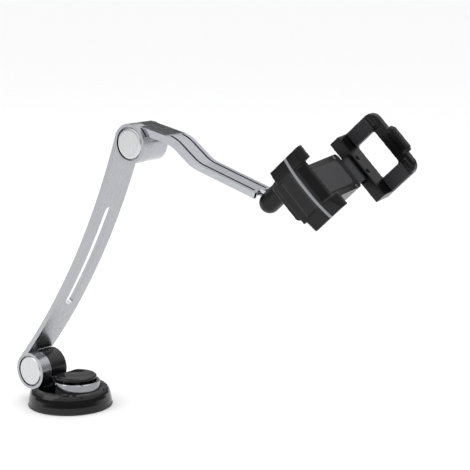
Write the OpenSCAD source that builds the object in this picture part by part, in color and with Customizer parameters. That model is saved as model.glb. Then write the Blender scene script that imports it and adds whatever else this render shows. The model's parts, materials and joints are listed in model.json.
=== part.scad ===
// Folding phone mount: lever suction base, slotted lower arm, S-bent channel upper arm,
// ball joint and a two-claw phone clamp. Millimetres, +Z up, +X is the reach of the arms,
// +Y runs along the two arm hinges. The origin is the centre of the suction face.

/* [Base] */
// Radius of the suction base at the table
base_r = 25.4; // [24:0.1:27]
// Height of the glossy housing's top rim
rim_z = 11.5; // [11:0.1:12.5]
// Radius of the polished collar round the stem
collar_r = 14.1; // [13.6:0.1:14.3]
// Radius of the lever's round thumb pad
pad_r = 12.9; // [11:0.1:13]

/* [Arms] */
// Height of the lower hinge above the table
hinge_z = 19.7; // [19.5:0.1:21]
// Hinge-to-hinge length of the lower arm
lower_len = 170; // [150:1:190]
// Lean of the lower arm from vertical, degrees
lower_lean = 30.2; // [20:0.1:40]
// Width of the lower arm along the hinges
arm_w = 20.4; // [20:0.1:21]
// Thickness of the bent lower plate
plate_t = 3; // [2.6:0.1:3.4]
// Outer radius of the hinge eyes
hub_r = 11.3; // [11:0.1:11.6]
// Width of the lightening slot
slot_w = 6.4; // [5:0.1:7.5]
// Length of the lightening slot
slot_len = 74; // [50:1:80]
// Width of the upper arm's channel
strap_w = 16.4; // [15:0.1:17]

/* [Phone clamp] */
// Opening between the claw pads at rest
jaw_gap = 78.6; // [70:0.1:84]
// Length of each claw along the phone
claw_len = 37.4; // [34:0.1:40]
// Height of the claws over the phone's back
claw_h = 17.5; // [16:0.1:19]
// Tilt of the clamp face from level, degrees
head_tilt = 47.3; // [40:0.1:55]
// Turn of the ball to the side, degrees
head_pan = 4.5; // [0:0.1:6]
// Turn of the clamp about its own face, degrees
head_spin = 5.6; // [0:0.1:10]

/* [Hidden] */
$fn = 96;
black = "#15161a";
rubber = "#26272a";
satin = "#c9cacc";
polished = "#b4b6ba";
steel = "#9a9ca0";
nylon = "#e8e6df";
slip = 0.05;      // running clearance on a radius
gap = 0.3;        // air between parts that only pass each other
eps = 0.01;

// Base levels
cup_lip = 0.9;
dish_z = 9.2;
block_z = 8;
cup_top = 5;
stem_r = 3;
pin_r = 1;
boss_z = 11.8;
pin_z = 15;
pad_x = 4.9;
pad_z = 16.9;
pad_t = 2.6;
collar_x = 5.8;
collar_top = 16.2;
collar_wall = 1.9;

// Hinge stations along Y
hinge_x = -20.3;
eye_w = 7.5;
knuckle_w = 12.7;
near_y = -14;
far_y = near_y + arm_w;
eye_y = near_y + eye_w;
knuckle_y = eye_y + 0.2;
nut_y = knuckle_y + knuckle_w - 5.3;
bolt_r = 3;
head_r = 4.6;
pocket_r = 5.6;
recess_r = 9.5;
cap_r = 8.9;
cap_t = 2.2;
head_h = 3.2;
nut_r = 4.6;
nut_h = 4;
washer_r = 7.5;
washer_t = 0.6;
bend_mid = 3.2;   // back face to the hinge line at mid length
plate_r = ((lower_len / 2) ^ 2 - hub_r ^ 2 + bend_mid ^ 2) / (2 * (hub_r - bend_mid));
upper_x = hinge_x + lower_len * sin(lower_lean);
upper_z = hinge_z + lower_len * cos(lower_lean);
barrel_r = 11;
arm_mid = near_y + arm_w / 2;
strap_mid = -3;
strap_y = strap_mid - strap_w / 2;

// Upper arm centre line from its hub, with thickness at the hub and at the end
strap_path = [[-1, 9.3], [29.1, 3.5], [45.2, -8.2], [88, -20.3]];
bend_r = 24;
strap_t0 = 4.2;
strap_t1 = 3.2;
rail_w = 2.6;
groove_w = 1.6;
groove = 1.7;
end_slope = atan2(-20.3 + 8.2, 88 - 45.2);
ball_reach = 7;
ball_x = upper_x + 88 + ball_reach * cos(end_slope);
ball_z = upper_z - 20.3 + ball_reach * sin(end_slope);
ball_y = strap_mid;
ball_r = 4.1;
neck_r = 1.9;
shank_r = 1.3;
seat_r = 4.9;
cup_r = 5.8;
cup_z = 6.3;
cup_end = 3.4;
relief_r = cup_end + cup_r + gap;
spigot_r = 3.4;
spigot_z = 13.2;

// Clamp levels, measured from the phone's back along the clamp's own Z
face_x = 13.6;
face_y = 0.9;
face_z = 38.1;
body_w = 22;
body_bottom = -13;
body_split = -3.2;
cover_top = -1;
body_y0 = -38;
body_y1 = 16;
pad_t2 = 1.2;
post_w = 7.7;
claw_t = 4.3;
wall_z = 14.6;
wall_low = -3;
ridge_z = 7;
post_root = -5;
fixed_x = 2.8;
claw_bow = 62;
claw_screw_x = 5.5;
claw_low = -5;
loop_x = 0.4;
loop_len = 40.2;
loop_top = 18.5;
loop_post = 9.1;
bar_h = 6.8;
loop_low = -8.8;
tongue_w = 15.6;
tongue_z0 = -7.8;
tongue_z1 = -3.6;
tongue_y0 = -11.4;
tongue_y1 = 36;
tooth = 2;
screw_r = 1.2;
jaw_y = jaw_gap / 2;

// ---- shared shapes ----

// A cylinder along +Y that starts at y0
module rod_y(r, y0, len, x = 0, z = 0) {
    translate([x, y0, z]) rotate([-90, 0, 0]) cylinder(r = r, h = len);
}

// A block given by its low corner and its high corner
module block(lo, hi) {
    translate(lo) cube(hi - lo);
}

// A plate with round corners, centred on the origin, standing on z = 0
module round_plate(size_x, size_y, h, r) {
    linear_extrude(h) union() {
        square([size_x - 2 * r, size_y], center = true);
        square([size_x, size_y - 2 * r], center = true);
        for (sx = [-1, 1], sy = [-1, 1])
            translate([sx * (size_x / 2 - r), sy * (size_y / 2 - r)]) circle(r = r);
    }
}

// A pan-head screw along +Z with its head on top at z
module pan_screw(r, head, len, z = 0) {
    translate([0, 0, z - len]) cylinder(r = r, h = len + eps);
    translate([0, 0, z]) difference() {
        cylinder(r = head, h = 1.4);
        translate([0, 0, 0.7]) cylinder(r = r * 0.8, h = 1, $fn = 6);
    }
}

// Points of a polyline with its inner corners rounded to radius r
function unit(v) = v / norm(v);
function corner(a, b, c, r, n = 7) =
    let (
        u = unit(a - b),
        w = unit(c - b),
        half = acos(u * w) / 2,
        t = r / tan(half),
        m = unit(u + w),
        o = b + m * r / sin(half),
        p = b + u * t - o,
        side = sign(u[0] * w[1] - u[1] * w[0]),
        sweep = side * (180 - 2 * half)
    )
    [for (i = [0:n]) let (k = -sweep * i / n)
        o + [p[0] * cos(k) - p[1] * sin(k), p[0] * sin(k) + p[1] * cos(k)]];
function rounded(pts, r) = concat(
    [pts[0]],
    [for (i = [1:len(pts) - 2]) each corner(pts[i - 1], pts[i], pts[i + 1], r)],
    [pts[len(pts) - 1]]
);
function normal_at(pts, i) =
    let (
        a = pts[max(i - 1, 0)],
        b = pts[min(i + 1, len(pts) - 1)],
        d = unit(b - a)
    )
    [-d[1], d[0]];
function strap_t(i, n) = strap_t0 + (strap_t1 - strap_t0) * i / (n - 1);
// Outline of the strip between two offsets; f = 1 is the top face, -1 the bottom face
function strip(pts, low, high, lift, first = 0) = concat(
    [for (i = [first:len(pts) - 1])
        pts[i] + normal_at(pts, i) * (low * strap_t(i, len(pts)) / 2 - lift)],
    [for (i = [len(pts) - 1:-1:first])
        pts[i] + normal_at(pts, i) * (high * strap_t(i, len(pts)) / 2)]
);

module at_lower_arm() {
    translate([hinge_x, 0, hinge_z]) rotate([0, lower_lean, 0]) children();
}
module at_upper_hinge() {
    translate([upper_x, 0, upper_z]) children();
}
module at_arm_end() {
    translate([ball_x, ball_y, ball_z]) rotate([0, -end_slope, 0]) children();
}
module at_ball() {
    translate([ball_x, ball_y, ball_z]) rotate([0, head_tilt, head_pan]) rotate([0, 0, head_spin])
        children();
}
module at_clamp() {
    at_ball() translate([face_x, face_y, face_z]) children();
}

// ---- suction base ----

module suction_cup() {
    color(rubber) rotate_extrude() polygon([
        [0, 1.2], [8, 1.2], [16, 0.9], [22, 0.3], [22.6, 0], [base_r, 0],
        [base_r + 0.3, 0.5], [base_r - 0.1, cup_lip], [23.6, cup_lip], [22, 3.4],
        [9, cup_top], [6.4, cup_top], [6.4, 2.4], [0, 2.4]
    ]);
}

module base_housing() {
    color(black) difference() {
        rotate_extrude() union() {
            polygon([
                [stem_r + slip, cup_top + 0.1], [9.1, cup_top + 0.1], [22.2, 3.5], [23.8, cup_lip],
                [base_r - 0.1, cup_lip], [base_r, 1.6], [base_r - 0.3, 4], [base_r - 0.8, 6.6],
                [base_r - 1.3, 8.4], [base_r - 1.9, 9.6], [base_r - 2.8, 10.7],
                [base_r - 3.9, rim_z - 0.2], [base_r - 5, rim_z], [base_r - 5.9, rim_z - 0.3],
                [base_r - 6.8, 10.2], [base_r - 8.4, dish_z], [7.6, dish_z], [7.6, boss_z],
                [stem_r + slip, boss_z]
            ]);
        }
        block([-32, -6.35, block_z], [-7.9, 6.35, 20]);
        rod_y(hub_r + 0.7, -20, 20 - 6.3, hinge_x, hinge_z);
        for (sy = [-1, 1])
            translate([-13.2, sy * 3.6, 0]) {
                cylinder(r = 1.55, h = 12);
                cylinder(r = 2.9, h = 6.6);
            }
        translate([collar_x, 0, dish_z]) cylinder(r = collar_r, h = 9);
    }
}

module collar_ring() {
    inner = collar_r - collar_wall;
    color(polished) difference() {
        translate([collar_x, 0, 0]) rotate_extrude() polygon([
            [inner, dish_z], [collar_r, dish_z], [collar_r, collar_top - 0.5],
            [collar_r - 0.5, collar_top], [inner + 0.3, collar_top], [inner, collar_top - 0.3]
        ]);
        block([-20, -20, 11.4], [-0.4, 20, 20]);
        block([-20, -6.6, 0], [-7.8, 6.6, 20]);
    }
}

module pull_stem() {
    neck_z = pin_z - 2;
    color(steel) difference() {
        union() {
            translate([0, 0, 3.8]) cylinder(r = stem_r, h = neck_z - 3.8);
            translate([0, 0, 3.8]) cylinder(r = 5.9, h = 1.1);
            intersection() {
                translate([0, 0, neck_z - eps]) cylinder(r = stem_r, h = 4);
                union() {
                    rod_y(1.5, -5, 10, 0, pin_z);
                    block([-1.5, -5, neck_z - 1], [1.5, 5, pin_z]);
                }
            }
        }
        rod_y(pin_r, -5, 10, 0, pin_z);
    }
}

module lever_pin() {
    color(steel) rod_y(pin_r, -5.4, 10.8, 0, pin_z);
}

module cam_lever() {
    cam_r = 2.35;
    cam_off = 0.65;
    color(black) difference() {
        union() {
            for (sy = [-1, 1]) {
                rod_y(cam_r, sy * 4.25 - 1, 2, cam_off, pin_z - cam_off);
                block([-1, sy * 4.25 - 1, pin_z - 1], [6, sy * 4.25 + 1, pad_z + 0.2]);
            }
            translate([pad_x, 0, pad_z]) rotate_extrude() polygon([
                [0, 0], [pad_r - 1.1, 0], [pad_r - 0.2, 0.5], [pad_r, 1.2], [pad_r - 0.3, 2],
                [pad_r - 1.2, 2.5], [pad_r - 3, pad_t], [5.8, 2.1], [0, 1.7]
            ]);
        }
        block([-20, -20, 0], [-3, 20, 30]);
        rod_y(pin_r + slip, -6, 12, 0, pin_z);
        translate([0, 0, pin_z - 3]) cylinder(r = stem_r + 0.2, h = pad_z - pin_z + 3);
    }
}

module foot_bracket() {
    color(black) difference() {
        union() {
            rod_y(hub_r, knuckle_y, knuckle_w, hinge_x, hinge_z);
            block([hinge_x - 6.5, knuckle_y, block_z], [-8, knuckle_y + knuckle_w - 0.1, 15.4]);
            block([-12, -6, 13], [-6.2, 6, 16]);
        }
        translate([hinge_x, 0, hinge_z]) rod_y(bolt_r + slip, -20, 40);
        rod_y(5.4, nut_y, 10, hinge_x, hinge_z);
        rod_y(washer_r + 0.1, knuckle_y - 1, 1 + washer_t - 0.2, hinge_x, hinge_z);
        for (sy = [-1, 1])
            translate([-13.2, sy * 3.6, 0]) cylinder(r = 1.5 + slip, h = 12.6);
    }
}

module foot_screws() {
    color(steel) for (sy = [-1, 1])
        translate([-13.2, sy * 3.6, 6.6]) rotate([180, 0, 0]) pan_screw(1.5, 2.6, 5.8);
}

// ---- hinge fittings, drawn about an axis through the origin ----

module hinge_bolt() {
    head_y = near_y + cap_t + head_h;
    difference() {
        union() {
            rod_y(head_r, head_y - head_h + 0.6, head_h - 0.6);
            rod_y(bolt_r, head_y - eps, eye_w + knuckle_w - cap_t - head_h - 1);
        }
        translate([0, head_y - head_h, 0]) rotate([-90, 0, 0]) cylinder(r = 2.6, h = 2.2, $fn = 6);
    }
}

module hinge_nut() {
    difference() {
        translate([0, nut_y, 0]) rotate([-90, 0, 0]) cylinder(r = nut_r, h = nut_h, $fn = 6);
        rod_y(bolt_r, nut_y - 1, nut_h + 2);
    }
}

module hinge_washer() {
    difference() {
        rod_y(washer_r, eye_y - 0.2, washer_t);
        rod_y(bolt_r + slip, eye_y - 1, 3);
    }
}

// Flat round cap that hides the bolt head, with a ring that presses into the pocket
module hinge_cap() {
    translate([0, near_y + cap_t, 0]) rotate([90, 0, 0]) rotate_extrude() polygon([
        [0, 0], [cap_r, 0], [cap_r, cap_t - 0.6], [cap_r - 0.5, cap_t - 0.1],
        [cap_r - 1.4, cap_t], [0, cap_t]
    ]);
    difference() {
        rod_y(pocket_r, near_y + cap_t - eps, 1.6);
        rod_y(pocket_r - 0.7, near_y + cap_t - 1, 4);
    }
}

// Cavities of an eye: cap recess, bolt-head pocket, washer seat and bolt hole
module eye_cuts() {
    rod_y(recess_r, near_y - 1, cap_t + 1);
    rod_y(pocket_r, near_y - 1, cap_t + 1 + head_h);
    rod_y(bolt_r + slip, near_y - 1, 20);
    rod_y(washer_r + 0.1, eye_y - 0.2, 3);
}

module lower_bolt() { color(steel) translate([hinge_x, 0, hinge_z]) hinge_bolt(); }
module lower_nut() { color(steel) translate([hinge_x, 0, hinge_z]) hinge_nut(); }
module lower_washer() { color(nylon) translate([hinge_x, 0, hinge_z]) hinge_washer(); }
module lower_cap() { color(satin) at_lower_arm() hinge_cap(); }
module upper_cap() { color(satin) at_upper_hinge() hinge_cap(); }
module upper_bolt() { color(steel) at_upper_hinge() hinge_bolt(); }
module upper_nut() { color(steel) at_upper_hinge() hinge_nut(); }
module upper_washer() { color(nylon) at_upper_hinge() hinge_washer(); }

// ---- lower arm ----

module lower_arm() {
    bow_x = -(plate_r + bend_mid);
    mid = lower_len / 2;
    color(satin) at_lower_arm() difference() {
        union() {
            for (z = [0, lower_len])
                rod_y(hub_r, near_y, eye_w, 0, z);
            intersection() {
                difference() {
                    rod_y(plate_r + plate_t, near_y, arm_w, bow_x, mid);
                    rod_y(plate_r, near_y - 1, arm_w + 2, bow_x, mid);
                }
                block([-30, near_y - 1, 0], [30, far_y + 1, lower_len]);
            }
        }
        for (z = [0, lower_len])
            translate([0, 0, z]) {
                eye_cuts();
                rod_y(hub_r + 0.5, eye_y, arm_w);
            }
        for (s = [-1, 1])
            translate([-30, arm_mid, mid + 1 + s * (slot_len - slot_w) / 2]) rotate([0, 90, 0])
                cylinder(d = slot_w, h = 60);
        block([-30, arm_mid - slot_w / 2, mid + 1 - (slot_len - slot_w) / 2],
            [30, arm_mid + slot_w / 2, mid + 1 + (slot_len - slot_w) / 2]);
    }
}

// ---- upper arm ----

module upper_arm() {
    path = rounded(strap_path, bend_r);
    color(polished) at_upper_hinge() difference() {
        union() {
            rod_y(barrel_r, knuckle_y, knuckle_w - 0.3);
            translate([0, strap_y + strap_w, 0]) rotate([90, 0, 0]) linear_extrude(strap_w)
                polygon(strip(path, -1, 1, 0));
        }
        rod_y(hub_r + 0.5, -30, 30 + eye_y + 0.2);
        for (y = [strap_y + rail_w, strap_y + strap_w - rail_w - groove_w])
            translate([0, y + groove_w, 0]) rotate([90, 0, 0]) linear_extrude(groove_w)
                difference() {
                    polygon(strip(path, 1, 5, groove, 2));
                    translate([85.5, -40]) square(40);
                }
        rod_y(bolt_r + slip, -20, 40);
        rod_y(5.4, nut_y, 10);
        rod_y(9.4, knuckle_y + knuckle_w - 0.3 - 1.2, 10);
        rod_y(washer_r + 0.1, knuckle_y - 1, 1 + washer_t - 0.2);
        translate([ball_x - upper_x, ball_y, ball_z - upper_z]) {
            sphere(r = relief_r);
            rotate([0, 90 - end_slope, 0]) translate([0, 0, -relief_r - 7])
                cylinder(r = shank_r + slip, h = 20);
        }
    }
}

module hub_cover() {
    y1 = knuckle_y + knuckle_w - 0.3;
    color(satin) at_upper_hinge() translate([0, y1 - 1.2, 0]) rotate([-90, 0, 0])
        rotate_extrude() polygon([[0, 0.6], [6.5, 0.6], [6.5, 0], [9.3, 0], [9.3, 0.9],
            [8.8, 1.3], [0, 1.5]]);
}

module ball_stud() {
    color(steel) translate([ball_x, ball_y, ball_z]) {
        sphere(r = ball_r);
        rotate([0, 90 - end_slope, 0]) {
            translate([0, 0, -relief_r + 0.3]) cylinder(r = neck_r, h = relief_r - 0.3);
            translate([0, 0, -relief_r - 6]) cylinder(r = shank_r, h = 12);
        }
    }
}

// ---- ball socket ----

// Free path of the stud's neck through the socket as the clamp tilts
module neck_fan() {
    reach = 12;
    lo = 180 + end_slope - 33;
    hi = 180 + end_slope + 28;
    half = neck_r + gap;
    translate([ball_x, ball_y, ball_z]) {
        for (a = [lo, hi])
            rotate([0, 90 - a, 0]) cylinder(r = half, h = reach);
        rotate([90, 0, 0]) linear_extrude(2 * half - 0.6, center = true)
            polygon(concat([[0, 0]], [for (i = [0:6]) let (a = lo + (hi - lo) * i / 6)
                [reach * cos(a), reach * sin(a)]]));
    }
}

module socket_cup() {
    color(black) difference() {
        at_ball() union() {
            translate([0, 0, -cup_end]) cylinder(r = cup_r, h = cup_end + cup_z);
            translate([0, 0, -cup_end]) sphere(r = cup_r);
            cylinder(r = spigot_r, h = spigot_z);
        }
        at_ball() sphere(r = seat_r);
        at_ball() translate([0, 0, spigot_z - 6.4]) cylinder(r = screw_r, h = 8);
        neck_fan();
    }
}

module ball_seat() {
    color(nylon) difference() {
        at_ball() sphere(r = seat_r, $fn = 40);
        at_ball() sphere(r = ball_r + slip, $fn = 40);
        neck_fan();
    }
}

module swivel_screw() {
    color(steel) at_ball() {
        pan_screw(screw_r, 2.2, 6, spigot_z + 0.5);
        translate([0, 0, spigot_z]) difference() {
            cylinder(r = 4.3, h = 0.5);
            translate([0, 0, -1]) cylinder(r = screw_r, h = 3);
        }
    }
}

// ---- phone clamp ----

module body_outline(z, h) {
    translate([0, (body_y0 + body_y1) / 2, z])
        round_plate(body_w, body_y1 - body_y0, h, 2.5);
}

module holder_body() {
    color(black) at_clamp() difference() {
        union() {
            body_outline(body_bottom, body_split - body_bottom);
            hull() {
                translate([-face_x, -face_y, cup_z + 0.2 - face_z]) cylinder(r = 6.2, h = 3, $fn = 32);
                translate([0, 0, body_bottom - 1])
                    round_plate(body_w - 1, 26, 1.5, 4, $fn = 32);
            }
        }
        translate([-face_x, -face_y, -face_z]) {
            cylinder(r = spigot_r + slip, h = spigot_z + 1);
            translate([0, 0, spigot_z - 0.2]) cylinder(r = 4.6, h = 14);
        }
        block([-tongue_w / 2 - gap, body_y0 + 4, -10], [tongue_w / 2 + gap, body_y1 + 1, 0]);
        for (sx = [-1, 1])
            translate([sx * claw_screw_x, body_y0 - 1, -6]) rotate([-90, 0, 0])
                cylinder(r = screw_r + slip, h = 6);
        for (sx = [-1, 1], y = [body_y0 + 2.2, body_y1 - 4])
            translate([sx * 9.6, y, -9]) cylinder(r = 0.7, h = 20, $fn = 24);
    }
}

module holder_cover() {
    color(black) at_clamp() difference() {
        body_outline(body_split, cover_top - body_split);
        for (sx = [-1, 1], y = [body_y0 + 2.2, body_y1 - 4])
            translate([sx * 9.6, y, -9]) {
                cylinder(r = 0.75, h = 20, $fn = 24);
                translate([0, 0, 9 - 2.2]) cylinder(r = 1.3, h = 6, $fn = 24);
            }
    }
}

module cover_screws() {
    color(steel) at_clamp() for (sx = [-1, 1], y = [body_y0 + 2.2, body_y1 - 4])
        translate([sx * 9.6, y, -2.2]) {
            translate([0, 0, -5]) cylinder(r = 0.7, h = 5 + eps, $fn = 24);
            cylinder(r = 1.25, h = 0.9, $fn = 24);
        }
}

module front_pad() {
    color(rubber) at_clamp() translate([0, -11, cover_top]) round_plate(15, 42, 1, 2.5);
}

module detent_spring() {
    color(steel) at_clamp() translate([4, 0, 0]) rotate([90, 0, -90]) linear_extrude(8)
        polygon([[14, -10], [-14, -10], [-14, -9.5], [-2, -9.5], [-0.8, -8.15], [0.4, -8.15],
            [1.4, -9.5], [14, -9.5]]);
}

// A post's side profile: root at the bottom, tip curling in over the phone at the top
module claw_post(x0, x1) {
    y1 = jaw_y + pad_t2;
    translate([x0, 0, 0]) rotate([90, 0, 90]) linear_extrude(x1 - x0) polygon([
        [-y1, post_root], [-y1 - claw_t, post_root], [-y1 - claw_t, 9],
        [-y1 - claw_t + 0.8, claw_h - 3.4], [-y1 - claw_t + 3, claw_h],
        [-y1 + 0.9, claw_h], [-y1 + 1, claw_h - 3.2], [-y1, claw_h - 4.6]
    ]);
}

// The wall between the posts, with the raised ridge that shows as a bright line
module claw_wall(x0, x1) {
    y1 = jaw_y + pad_t2;
    translate([x0, 0, 0]) rotate([90, 0, 90]) linear_extrude(x1 - x0) polygon([
        [-y1, wall_low], [-y1 - claw_t + 1.2, wall_low], [-y1 - claw_t + 0.5, ridge_z - 2.4],
        [-y1 - claw_t - 1, ridge_z - 0.8], [-y1 - claw_t - 1, ridge_z + 0.6],
        [-y1 - claw_t + 1, ridge_z + 1.8], [-y1 - 1.6, wall_z - 0.8], [-y1, wall_z]
    ]);
}

module fixed_claw() {
    half = claw_len / 2;
    y1 = jaw_y + pad_t2;
    color(black) at_clamp() difference() {
        translate([fixed_x, 0, 0]) intersection() {
            union() {
                claw_post(-half, -half + post_w);
                claw_post(half - post_w, half);
                claw_wall(-half + 1, half - 1);
                block([-half + post_w - 1, -y1 - 2.4, -8], [half - post_w + 1, body_y0, -2]);
            }
            translate([0, claw_bow - y1 - claw_t - 1, -30])
                cylinder(r = claw_bow, h = 60, $fn = 180);
        }
        for (sx = [-1, 1])
            translate([sx * claw_screw_x, body_y0 + 1, -6]) rotate([90, 0, 0])
                cylinder(r = screw_r, h = 3.9);
    }
}

module fixed_claw_pads() {
    half = claw_len / 2 - 0.5;
    color(rubber) at_clamp() translate([fixed_x, 0, 0])
        block([-half, -jaw_y - pad_t2, 0], [half, -jaw_y, claw_h - 5]);
}

module claw_screws() {
    color(steel) at_clamp() for (sx = [-1, 1])
        translate([sx * claw_screw_x, body_y0 + 4, -6]) rotate([-90, 0, 0])
            pan_screw(screw_r, 2.2, 6.4);
}

module claw_tongue() {
    teeth = 14;
    color(black) at_clamp() difference() {
        block([-tongue_w / 2, tongue_y0, tongue_z0], [tongue_w / 2, tongue_y1, tongue_z1]);
        for (i = [0:teeth - 1])
            translate([-20, tongue_y0 + 3 + i * tooth, tongue_z0 - 0.6]) rotate([45, 0, 0])
                cube([40, 0.9, 0.9]);
        for (sx = [-1, 1])
            translate([sx * 4.5, tongue_y1 - 3, -12]) cylinder(r = screw_r, h = 20);
    }
}

// Outline of the sliding claw's loop in its own X-Z plane
module loop_outline() {
    half = loop_len / 2;
    r = 5.5;
    difference() {
        union() {
            translate([-half + r, 0]) square([loop_len - 2 * r, loop_top]);
            translate([-half, loop_low]) square([loop_len, loop_top - r - loop_low]);
            for (sx = [-1, 1])
                translate([sx * (half - r), loop_top - r]) circle(r = r);
        }
        hull() for (sx = [-1, 1], z = [loop_low + 8.4, loop_top - bar_h])
            translate([sx * (half - loop_post - 1.6), z - 1.6]) circle(r = 1.6, $fn = 32);
    }
}

module sliding_claw() {
    half = loop_len / 2;
    y0 = jaw_y + pad_t2;
    y1 = y0 + claw_t;
    color(black) at_clamp() difference() {
        union() {
            translate([loop_x, 0, 0]) {
                translate([0, y1, 0]) rotate([90, 0, 0]) linear_extrude(claw_t) loop_outline();
                for (x = [-half, half - loop_post])
                    block([x + 0.6, y0 - 1, loop_top - 5.4],
                        [x + loop_post - 0.6, y0 + 1, loop_top - 2.2]);
                block([-half, jaw_y - 9, loop_low], [half, y0 + 1, -2]);
            }
            translate([2, y1 - 2.4, loop_top - 1]) round_plate(17, 4.6, 3.4, 2);
            translate([2, y1 - 2.2, loop_top + 1.2]) round_plate(14.4, 3.4, 2, 1.6);
        }
        block([-tongue_w / 2, jaw_y - 12, tongue_z0], [tongue_w / 2, tongue_y1, tongue_z1]);
        for (sx = [-1, 1])
            translate([sx * 4.5, tongue_y1 - 3, -12]) {
                cylinder(r = screw_r, h = 10.8);
                cylinder(r = 2.4, h = 4);
            }
    }
}

module sliding_claw_pads() {
    half = loop_len / 2;
    color(rubber) at_clamp() translate([loop_x, 0, 0]) for (x = [-half, half - loop_post])
        block([x + 0.4, jaw_y, -1.6], [x + loop_post - 0.4, jaw_y + pad_t2, loop_top - 5.5]);
}

module tongue_screws() {
    color(steel) at_clamp() for (sx = [-1, 1])
        translate([sx * 4.5, tongue_y1 - 3, -8]) rotate([180, 0, 0]) pan_screw(screw_r, 2.2, 5);
}

suction_cup();
base_housing();
collar_ring();
pull_stem();
cam_lever();
lever_pin();
foot_bracket();
foot_screws();
lower_bolt();
lower_nut();
lower_washer();
lower_arm();
lower_cap();
upper_cap();
upper_bolt();
upper_nut();
upper_washer();
upper_arm();
hub_cover();
ball_stud();
socket_cup();
ball_seat();
swivel_screw();
holder_body();
holder_cover();
cover_screws();
front_pad();
detent_spring();
fixed_claw();
fixed_claw_pads();
claw_screws();
claw_tongue();
sliding_claw();
sliding_claw_pads();
tongue_screws();
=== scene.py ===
import json
import math
import bpy
from mathutils import Matrix, Vector

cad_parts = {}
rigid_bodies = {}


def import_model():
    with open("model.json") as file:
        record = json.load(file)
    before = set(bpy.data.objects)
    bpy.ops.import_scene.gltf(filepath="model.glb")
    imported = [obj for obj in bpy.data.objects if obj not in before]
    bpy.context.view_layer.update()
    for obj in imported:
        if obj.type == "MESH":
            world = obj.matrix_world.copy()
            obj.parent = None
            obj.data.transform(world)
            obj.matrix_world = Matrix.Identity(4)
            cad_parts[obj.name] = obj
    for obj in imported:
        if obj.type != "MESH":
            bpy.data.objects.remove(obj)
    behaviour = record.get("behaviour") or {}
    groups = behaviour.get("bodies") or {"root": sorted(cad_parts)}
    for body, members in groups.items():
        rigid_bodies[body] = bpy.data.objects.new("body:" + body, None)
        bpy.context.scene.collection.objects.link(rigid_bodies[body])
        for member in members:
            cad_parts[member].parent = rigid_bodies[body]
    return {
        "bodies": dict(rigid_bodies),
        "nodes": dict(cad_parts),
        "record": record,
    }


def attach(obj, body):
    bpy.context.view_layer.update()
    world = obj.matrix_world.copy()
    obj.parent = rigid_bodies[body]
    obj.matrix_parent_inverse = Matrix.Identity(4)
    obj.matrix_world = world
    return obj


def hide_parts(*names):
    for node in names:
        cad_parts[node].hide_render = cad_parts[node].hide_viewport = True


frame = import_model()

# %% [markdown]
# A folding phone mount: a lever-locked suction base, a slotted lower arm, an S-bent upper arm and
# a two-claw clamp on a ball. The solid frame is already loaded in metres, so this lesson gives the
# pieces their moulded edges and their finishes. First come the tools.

nodes, bodies = frame["nodes"], frame["bodies"]
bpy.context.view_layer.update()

# %% [markdown]
# Colours are picked as sRGB hex values, the way a swatch book gives them, but shaders work in linear
# light. One function turns the hex into linear numbers, and one small function adds a node with its
# settings and its links, so each finish below reads as a short recipe. Every pattern's scale comes
# from a real size in millimetres, so grain and streaks keep their true size beside the screws.

# %% Colour and node helpers
def linear(hex_colour):
    """sRGB hex to a linear RGBA tuple."""
    parts = [int(hex_colour[i:i + 2], 16) / 255 for i in (1, 3, 5)]
    return tuple(c / 12.92 if c <= 0.04045 else ((c + 0.055) / 1.055) ** 2.4 for c in parts) + (1.0,)


def per_mm(size_mm):
    """Pattern scale for features of the given size, since the pieces are in metres."""
    return 1000 / size_mm


def add(tree, kind, settings=None, inputs=None, **links):
    """Adds a node, sets its properties and its input values, and links sockets into it."""
    node = tree.nodes.new(kind)
    for key, value in (settings or {}).items():
        setattr(node, key, value)
    for key, value in (inputs or {}).items():
        node.inputs[key].default_value = value
    for key, socket in links.items():
        tree.links.new(socket, node.inputs[key.replace("_", " ")])
    return node


def new_finish(name, **shader):
    """An empty material with one Principled shader set from the given values."""
    mat = bpy.data.materials.new(name)
    mat.use_nodes = True
    tree = mat.node_tree
    tree.nodes.clear()
    values = {key.replace("_", " "): value for key, value in shader.items()}
    bsdf = add(tree, "ShaderNodeBsdfPrincipled", inputs=values)
    add(tree, "ShaderNodeOutputMaterial", Surface=bsdf.outputs[0])
    return mat, tree, bsdf


def place_of(tree, frame_deg=0.0, stretch=(1, 1, 1)):
    """Object coordinates turned about Y and stretched, so a pattern can follow a leaning arm."""
    coords = add(tree, "ShaderNodeTexCoord")
    turned = add(tree, "ShaderNodeMapping", inputs={"Rotation": (0, math.radians(frame_deg), 0)},
                 Vector=coords.outputs["Object"])
    return add(tree, "ShaderNodeMapping", inputs={"Scale": stretch}, Vector=turned.outputs[0]).outputs[0]


def noise(tree, size_mm, detail, at=None):
    """A noise mask with features of the given real size."""
    return add(tree, "ShaderNodeTexNoise", inputs={"Scale": per_mm(size_mm), "Detail": detail},
               Vector=at or place_of(tree)).outputs[0]


def edge_wear(tree, at, low=0.52, high=0.62):
    """A mask that is 1 on worn convex edges and breaks up like real handling."""
    geo = add(tree, "ShaderNodeNewGeometry")
    rough = noise(tree, 1.1, 4.0, at)
    edge = add(tree, "ShaderNodeMapRange", inputs={"From Min": low, "From Max": high},
               Value=geo.outputs["Pointiness"])
    mix = add(tree, "ShaderNodeMath", {"operation": "MULTIPLY"})
    tree.links.new(edge.outputs[0], mix.inputs[0])
    tree.links.new(rough, mix.inputs[1])
    return mix.outputs[0]


def blend_colour(tree, mask, first, second):
    ramp = add(tree, "ShaderNodeValToRGB", Fac=mask)
    ramp.color_ramp.elements[0].color = linear(first)
    ramp.color_ramp.elements[1].color = linear(second)
    return ramp.outputs[0]


def vary(tree, mask, low, high):
    return add(tree, "ShaderNodeMapRange", inputs={"To Min": low, "To Max": high}, Value=mask).outputs[0]


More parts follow.
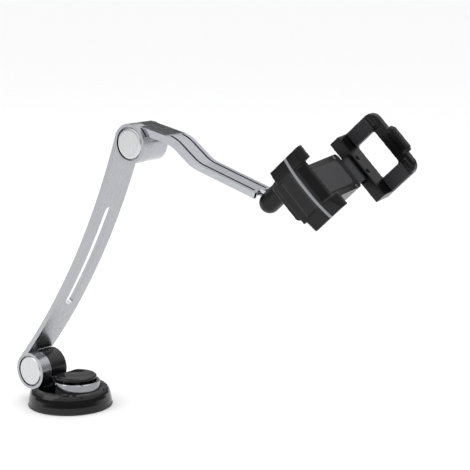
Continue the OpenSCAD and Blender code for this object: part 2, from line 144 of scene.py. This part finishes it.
def bump(tree, bsdf, height, depth_mm, strength):
    relief = add(tree, "ShaderNodeBump", inputs={"Strength": strength, "Distance": depth_mm / 1000},
                 Height=height)
    tree.links.new(relief.outputs[0], bsdf.inputs["Normal"])


def tone(tree, bsdf, colour_mask, dark, pale, gloss_mask, smooth, rough):
    """Colour from one mask and roughness from another, the recipe that every finish shares."""
    tree.links.new(blend_colour(tree, colour_mask, dark, pale), bsdf.inputs["Base Color"])
    tree.links.new(vary(tree, gloss_mask, smooth, rough), bsdf.inputs["Roughness"])


print("grain of 0.3 mm needs scale", round(per_mm(0.3)))
print("#808080 is", round(linear("#808080")[0], 3), "in linear light")

# %% [markdown]
# Satin aluminium: the lower arm and the hinge caps are rolled plate, bead blasted and then brushed
# along their length. The eye sees a pale grey sheen pulled into long faint streaks. Noise stretched
# forty times along the arm gives those streaks, and a second fine noise gives the blasted tooth.

# %% Satin brushed aluminium
def satin_aluminium(name, lean, low_hex, high_hex):
    mat, tree, bsdf = new_finish(name, Metallic=1.0, Roughness=0.3)
    along = place_of(tree, lean, (per_mm(0.7), per_mm(0.7), per_mm(38)))     # streak width and length
    streak = add(tree, "ShaderNodeTexNoise", inputs={"Scale": 1.0, "Detail": 5.0},
                 Vector=along).outputs[0]
    tooth = noise(tree, 0.19, 2.0)
    tone(tree, bsdf, streak, low_hex, high_hex, streak, 0.2, 0.36)
    both = add(tree, "ShaderNodeMath", {"operation": "ADD"})
    tree.links.new(streak, both.inputs[0])
    tree.links.new(tooth, both.inputs[1])
    bump(tree, bsdf, both.outputs[0], 0.012, 0.25)
    return mat


arm_satin = satin_aluminium("satin_aluminium_arm", -30.2, "#9C9DA1", "#BEBFC3")
cap_satin = satin_aluminium("satin_aluminium_cap", 0, "#C2C3C5", "#DADBDC")
print("made", arm_satin.name, cap_satin.name)

# %% [markdown]
# Polished aluminium: the upper arm is drawn channel, buffed almost to a mirror. It needs low
# roughness with a little long draw-line variation, so that its reflections stay crisp but not
# perfect, and a slightly cool grey.

# %% Polished aluminium
polished, tree, bsdf = new_finish("polished_aluminium", Metallic=1.0, Roughness=0.14)
draw = add(tree, "ShaderNodeTexNoise", inputs={"Scale": 1.0, "Detail": 4.0},
           Vector=place_of(tree, 15.8, (per_mm(33), per_mm(0.9), per_mm(1.1)))).outputs[0]
tone(tree, bsdf, draw, "#9FA1A6", "#BFC1C6", draw, 0.09, 0.2)
bump(tree, bsdf, draw, 0.006, 0.2)
print("made", polished.name, "with draw lines 0.9 mm wide and 33 mm long")

# %% [markdown]
# Chrome plate on the collar: nickel and chrome over brass, the brightest and sharpest mirror on the
# part, with the faint orange peel that plating leaves.

# %% Chrome plate
chrome, tree, bsdf = new_finish("chrome_plate", Metallic=1.0, Roughness=0.06)
peel = noise(tree, 2.0, 2.0)
tone(tree, bsdf, peel, "#85868A", "#9FA0A4", peel, 0.04, 0.1)
bump(tree, bsdf, peel, 0.01, 0.15)
print("made", chrome.name, "with 2 mm orange peel")

# %% [markdown]
# Zinc-plated steel for bolts, nuts, pins and the spring: greyer than aluminium. The plating grows
# as small clouded crystals, which dull the shine in patches of about half a millimetre.

# %% Zinc-plated steel
steel, tree, bsdf = new_finish("zinc_plated_steel", Metallic=1.0, Roughness=0.3)
cloud = noise(tree, 0.63, 4.0)
tone(tree, bsdf, cloud, "#8E9094", "#B4B5B8", cloud, 0.22, 0.4)
bump(tree, bsdf, cloud, 0.01, 0.3)
print("made", steel.name, "with 0.6 mm crystal clouds")

# %% [markdown]
# Gloss ABS: the base housing and the lever are moulded in a polished tool, so they are a deep black
# with a mirror-like coat. A slow ripple stands for the slight sink of the moulding and a faint haze
# of fine scratches raises the roughness in patches.

# %% Gloss black ABS
gloss, tree, bsdf = new_finish("gloss_black_abs", Roughness=0.1, IOR=1.5, Specular_IOR_Level=0.4)
haze = noise(tree, 1.4, 6.0)
sink = noise(tree, 17, 1.0)
tone(tree, bsdf, haze, "#030304", "#0A0A0C", haze, 0.06, 0.18)
bump(tree, bsdf, sink, 0.06, 0.25)
print("made", gloss.name, "with 1.4 mm haze over 17 mm sink marks")

# %% [markdown]
# Satin ABS: the clamp, claws and socket are moulded in a lightly spark-eroded tool. A fine grain of
# about a fifth of a millimetre scatters the highlight, and handled edges shine a little paler.

# %% Satin black ABS
satin, tree, bsdf = new_finish("satin_black_abs", Roughness=0.3, IOR=1.5, Specular_IOR_Level=0.3)
place = place_of(tree)
grain = noise(tree, 0.28, 3.0, place)
wear = edge_wear(tree, place)
tone(tree, bsdf, wear, "#08080A", "#1E1F22", grain, 0.2, 0.38)
bump(tree, bsdf, grain, 0.03, 0.35)
print("made", satin.name, "with 0.28 mm grain")

# %% [markdown]
# The fixed claw has a raised bead across its outer face. The same satin ABS gets a pale band
# painted where the bead is, a painted highlight for the light that the rounded bead catches. The band
# is found from the frame: it lies a set height above the face pad, measured along that pad's own normal.

# %% Satin ABS with a painted highlight on the bead
bead_height, highlight_half, highlight_fade = 0.0070, 0.0005, 0.0005
pad_mesh = nodes["front_pad"].data
pad_face = max((f for f in pad_mesh.polygons if f.normal.z > 0), key=lambda f: f.area)
pad_normal = pad_face.normal.copy()
highlight_level = pad_face.center.dot(pad_normal) + bead_height

painted_highlight_satin, tree, bsdf = new_finish("satin_black_abs_painted_highlight", Roughness=0.3, IOR=1.5, Specular_IOR_Level=0.3)
place = place_of(tree)
level = add(tree, "ShaderNodeVectorMath", {"operation": "DOT_PRODUCT"})
tree.links.new(add(tree, "ShaderNodeTexCoord").outputs["Object"], level.inputs[0])
level.inputs[1].default_value = pad_normal
above = add(tree, "ShaderNodeMath", {"operation": "SUBTRACT"})
tree.links.new(level.outputs["Value"], above.inputs[0])
above.inputs[1].default_value = highlight_level
away = add(tree, "ShaderNodeMath", {"operation": "ABSOLUTE"})
tree.links.new(above.outputs[0], away.inputs[0])
fade = {"From Min": highlight_half, "From Max": highlight_half + highlight_fade, "To Min": 1.0, "To Max": 0.0}
painted_highlight_band = add(tree, "ShaderNodeMapRange", inputs=fade, Value=away.outputs[0]).outputs[0]
grain = noise(tree, 0.28, 3.0, place)
# painted highlight: the pale grey #8F9094 band on the bead stands for the light the rounded bead catches
tone(tree, bsdf, painted_highlight_band, "#09090B", "#8F9094", grain, 0.2, 0.38)
bump(tree, bsdf, grain, 0.03, 0.35)
print("bead band", round(2000 * highlight_half, 1), "mm wide, normal", [round(c, 3) for c in pad_normal])

# %% [markdown]
# Black enamel on the die-cast foot bracket: a sprayed paint over zinc, a little deeper and glossier
# than the clamp's plastic, with the soft orange peel that spray leaves.

# %% Black enamel
enamel, tree, bsdf = new_finish("black_enamel", Roughness=0.24, IOR=1.5, Specular_IOR_Level=0.45)
peel = noise(tree, 0.77, 3.0)
tone(tree, bsdf, peel, "#0B0B0D", "#151518", peel, 0.18, 0.32)
bump(tree, bsdf, peel, 0.02, 0.35)
print("made", enamel.name, "with 0.8 mm spray peel")

# %% [markdown]
# Rubber: the suction cup and the claw pads are soft and nearly matt, a touch greyer than the
# plastic, with a dusty broad sheen.

# %% Soft rubber
rubber, tree, bsdf = new_finish("soft_rubber", Roughness=0.62, IOR=1.45, Sheen_Weight=0.15,
                                Sheen_Roughness=0.4)
dust = noise(tree, 0.67, 6.0)
tone(tree, bsdf, dust, "#1B1B1D", "#2C2C2F", dust, 0.5, 0.75)
bump(tree, bsdf, dust, 0.03, 0.4)
print("made", rubber.name, "with 0.7 mm dust")

# %% [markdown]
# Natural nylon washers and ball liner: milky white and waxy, so a little light goes below the skin.

# %% Natural nylon
nylon, tree, bsdf = new_finish("natural_nylon", Roughness=0.45, IOR=1.53)
milk = noise(tree, 1.25, 3.0)
tone(tree, bsdf, milk, "#DAD8CF", "#EBE9E1", milk, 0.38, 0.52)
bump(tree, bsdf, milk, 0.01, 0.3)
print("made", nylon.name, "with 1.25 mm cloudiness")

# %% [markdown]
# Every frame piece now takes its finish. The record names a slot for each node, so one small table
# from slot to finish covers them all.

# %% Give every frame piece its finish
finish_of = {"soft_rubber": rubber, "gloss_black": gloss, "satin_black": satin, "black_metal": enamel,
             "chrome_ring": chrome, "steel": steel, "satin_aluminium": cap_satin,
             "polished_aluminium": polished, "nylon": nylon}
slot_of = {s["node"]: s["material_slot"] for s in frame["record"]["subparts"]}


def dress(obj, mat):
    for s in obj.material_slots:
        s.material = mat


for name, obj in nodes.items():
    dress(obj, arm_satin if name == "lower_arm" else finish_of[slot_of[name]])
print("dressed", len(nodes), "pieces")

# %% [markdown]
# A machined or moulded edge is never razor sharp. On the metal pieces a narrow bevel on every sharp
# edge catches the light. A modifier does it without touching the frame's own mesh.

# %% Broken edges on the turned and milled pieces
edges_mm = {"lower_arm": 0.12, "upper_arm": 0.35, "lower_cap": 0.2, "upper_cap": 0.2, "hub_cover": 0.15,
            "collar_ring": 0.2, "base_housing": 0.25, "holder_cover": 0.4, "claw_tongue": 0.3,
            "fixed_claw_pads": 0.4, "sliding_claw_pads": 0.4, "front_pad": 0.3, "suction_cup": 0.15}
for name, width in edges_mm.items():
    soft = nodes[name].modifiers.new("broken_edge", "BEVEL")
    soft.width = width / 1000
    soft.segments = 3
    soft.limit_method = "ANGLE"
    soft.angle_limit = math.radians(32)
    soft.harden_normals = True
print("broke the edges of", len(edges_mm), "pieces")

# %% [markdown]
# Moulded pieces have generous, flowing corners. Remeshing a copy of the solid into small even cells
# and then relaxing it rounds every corner by about a millimetre, inside and out, which is how a
# moulding tool's corners look. The copy stands for the solid and rides on the same body.

# %% Moulded pieces with flowing corners
def moulded(name, body, cell_mm, relax, mat):
    piece = bpy.data.objects.new(name + "_moulded", nodes[name].data.copy())
    bpy.context.scene.collection.objects.link(piece)
    cells = piece.modifiers.new("even_cells", "REMESH")
    cells.mode = "VOXEL"
    cells.voxel_size = cell_mm / 1000
    flow = piece.modifiers.new("flow", "SMOOTH")
    flow.factor = 0.5
    flow.iterations = relax
    view_layer = bpy.context.view_layer
    view_layer.update()
    done = bpy.data.meshes.new_from_object(piece.evaluated_get(bpy.context.evaluated_depsgraph_get()))
    piece.modifiers.clear()
    piece.data = done
    for p in done.polygons:
        p.use_smooth = True
    done.materials.clear()
    done.materials.append(mat)
    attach(piece, body)
    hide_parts(name)
    print(piece.name, len(done.vertices), "points")
    return piece


# the fixed claw takes the satin ABS with the painted highlight band on its bead
for name, body, cell, relax, mat in (
    ("fixed_claw", "clamp", 0.4, 5, painted_highlight_satin), ("sliding_claw", "jaw", 0.4, 7, satin),
    ("holder_body", "clamp", 0.5, 8, satin), ("socket_cup", "socket", 0.3, 5, satin),
    ("foot_bracket", "base", 0.35, 4, enamel), ("cam_lever", "lever", 0.25, 4, gloss),
):
    moulded(name, body, cell, relax, mat)

# %% [markdown]
# The stage: a pale floor and large soft lights, as in a product studio. A dark card behind the set
# gives the polished metal its black streaks. It is kept out of the picture and casts no shadow.

# %% Floor, lights and cards
def plane(name, centre, normal, size, mat):
    mesh = bpy.data.meshes.new(name)
    w, h = size
    mesh.from_pydata([(-w, -h, 0), (w, -h, 0), (w, h, 0), (-w, h, 0)], [], [(0, 1, 2, 3)])
    obj = bpy.data.objects.new(name, mesh)
    obj.location = centre
    obj.rotation_euler = Vector(normal).to_track_quat("Z", "Y").to_euler()
    mesh.materials.append(mat)
    bpy.context.scene.collection.objects.link(obj)
    return obj


paper, tree, bsdf = new_finish("white_paper", Roughness=0.8)
fibre = add(tree, "ShaderNodeTexNoise", inputs={"Scale": 30.0}, Vector=place_of(tree)).outputs[0]
tree.links.new(blend_colour(tree, fibre, "#FAFAFA", "#FDFDFD"), bsdf.inputs["Base Color"])
floor_gap, floor_half = 0.0003, 30
plane("floor", (0, 0, -floor_gap), (0, 0, 1), (floor_half, floor_half), paper)

card_black, tree, bsdf = new_finish("black_card", Roughness=0.9)
bsdf.inputs["Base Color"].default_value = linear("#050505")


def light(name, centre, aim, size, watts):
    data = bpy.data.lights.new(name, "AREA")
    data.shape = "RECTANGLE"
    data.size, data.size_y = size
    data.energy = watts
    obj = bpy.data.objects.new(name, data)
    obj.location = centre
    obj.rotation_euler = (Vector(aim) - Vector(centre)).to_track_quat("-Z", "Y").to_euler()
    bpy.context.scene.collection.objects.link(obj)
    return obj


middle = (0.08, 0, 0.1)          # about the middle of the folded-out mount
light("key_left", (-0.5, -0.9, 0.9), middle, (0.9, 0.9), 3.6)
light("top", (0.1, 0.2, 1.2), middle, (1.0, 1.0), 2)
card_place, card_aim = (-0.46, 0.76, 0.52), (0.07, 0, 0.17)
card = plane("card_back", card_place, Vector(card_aim) - Vector(card_place), (0.30, 0.055), card_black)
card.visible_camera = False
card.visible_shadow = False
card.visible_diffuse = False

world = bpy.data.worlds.new("studio")
world.use_nodes = True
bpy.context.scene.world = world
sky = world.node_tree
heading = add(sky, "ShaderNodeTexCoord")
height = add(sky, "ShaderNodeSeparateXYZ", Vector=heading.outputs["Generated"])
ramp = add(sky, "ShaderNodeValToRGB", Fac=height.outputs["Z"])
ramp.color_ramp.elements[0].color = linear("#8E8F92")
ramp.color_ramp.elements[1].color = (1.35, 1.35, 1.35, 1)
for at, grey in ((0.12, 0.22), (0.3, 0.34), (0.5, 0.95)):
    step = ramp.color_ramp.elements.new(at)
    step.color = (grey, grey, grey * 1.01, 1)
sky.links.new(ramp.outputs[0], sky.nodes["Background"].inputs["Color"])
print("studio of", len(bpy.data.lights), "soft lights, one card and a graded sky")

# %% [markdown]
# The camera stands off to the front right, low, with a long lens, so the arms keep their true
# proportions.

# %% Camera
eye = bpy.data.cameras.new("product_camera")
eye.lens, eye.sensor_width = 124.1, 36
camera = bpy.data.objects.new("product_camera", eye)
back = Vector((0.628, -0.755, 0.19)).normalized()
right = Vector((0.769, 0.64, 0)).normalized()
right = (right - back * right.dot(back)).normalized()
up = back.cross(right)
turn = Matrix((right, up, back)).transposed().to_4x4()
camera.matrix_world = Matrix.Translation((0.6857, -0.6673, 0.2887)) @ turn
eye.clip_start, eye.clip_end = 0.05, 50
bpy.context.scene.collection.objects.link(camera)
bpy.context.scene.camera = camera
bpy.context.scene.view_settings.view_transform = "Standard"
print("camera", [round(c, 3) for c in camera.location], "lens", round(eye.lens, 1), "mm")
